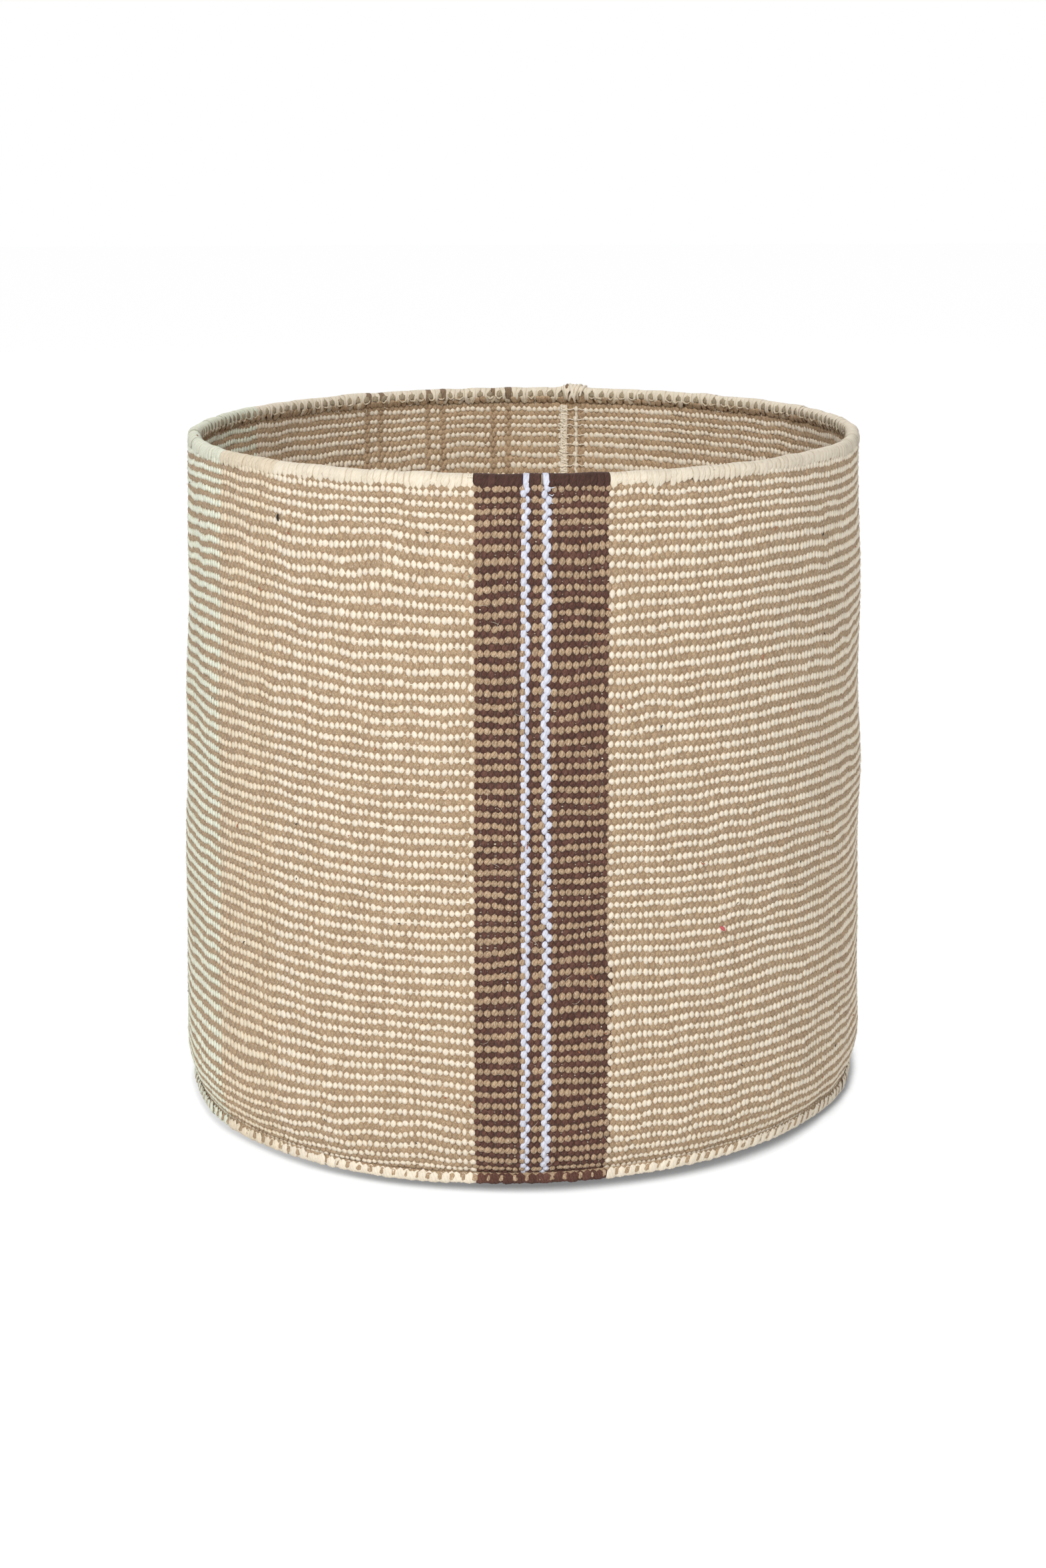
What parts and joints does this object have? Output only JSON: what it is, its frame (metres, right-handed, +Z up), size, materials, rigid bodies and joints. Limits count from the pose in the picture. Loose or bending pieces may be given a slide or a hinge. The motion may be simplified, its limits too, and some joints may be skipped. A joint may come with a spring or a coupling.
{
  "type": "woven storage basket",
  "caption": "Round open-topped storage basket of loom-woven wool cloth, bound over a cord at rim and foot, for holding loose household things.",
  "frame": {"origin": "centre of the underside, on the surface that the basket stands on", "axes": "+Z up through the open mouth; the dark stripe faces -Y; +X to the right when the stripe faces the viewer"},
  "size_m": [0.313, 0.3035, 0.3],
  "materials": {
    "cream_and_sand_cloth": "matte woven wool, rows of cream beads on mottled sand",
    "cream_yarn": "matte spun wool with fine loose fibres",
    "dark_brown_yarn": "matte spun wool, dark brown beads between rows of sand beads",
    "cool_white_yarn": "matte cotton yarn with a cool tint",
    "inner_cord": "undyed fibre cord, hidden inside the bound edges"
  },
  "bodies": {
    "root": {"wall_field_right": "cream_and_sand_cloth", "wall_field_left": "cream_and_sand_cloth", "wall_stripe_left": "dark_brown_yarn", "wall_stripe_middle": "dark_brown_yarn", "wall_stripe_right": "dark_brown_yarn", "wall_white_line_left": "cool_white_yarn", "wall_white_line_right": "cool_white_yarn", "rim_binding_field_right": "cream_yarn", "rim_binding_field_left": "cream_yarn", "rim_binding_stripe_left": "dark_brown_yarn", "rim_binding_stripe_middle": "dark_brown_yarn", "rim_binding_stripe_right": "dark_brown_yarn", "rim_binding_white_line_left": "cool_white_yarn", "rim_binding_white_line_right": "cool_white_yarn", "rim_cord": "inner_cord", "foot_binding_field_right": "cream_yarn", "foot_binding_field_left": "cream_yarn", "foot_binding_stripe": "dark_brown_yarn", "foot_cord": "inner_cord", "base_cloth": "cream_and_sand_cloth", "base_seam_thread": "cream_yarn", "back_seam_thread_inside": "cream_yarn", "back_seam_thread_outside": "cream_yarn"}
  },
  "joints": []
}
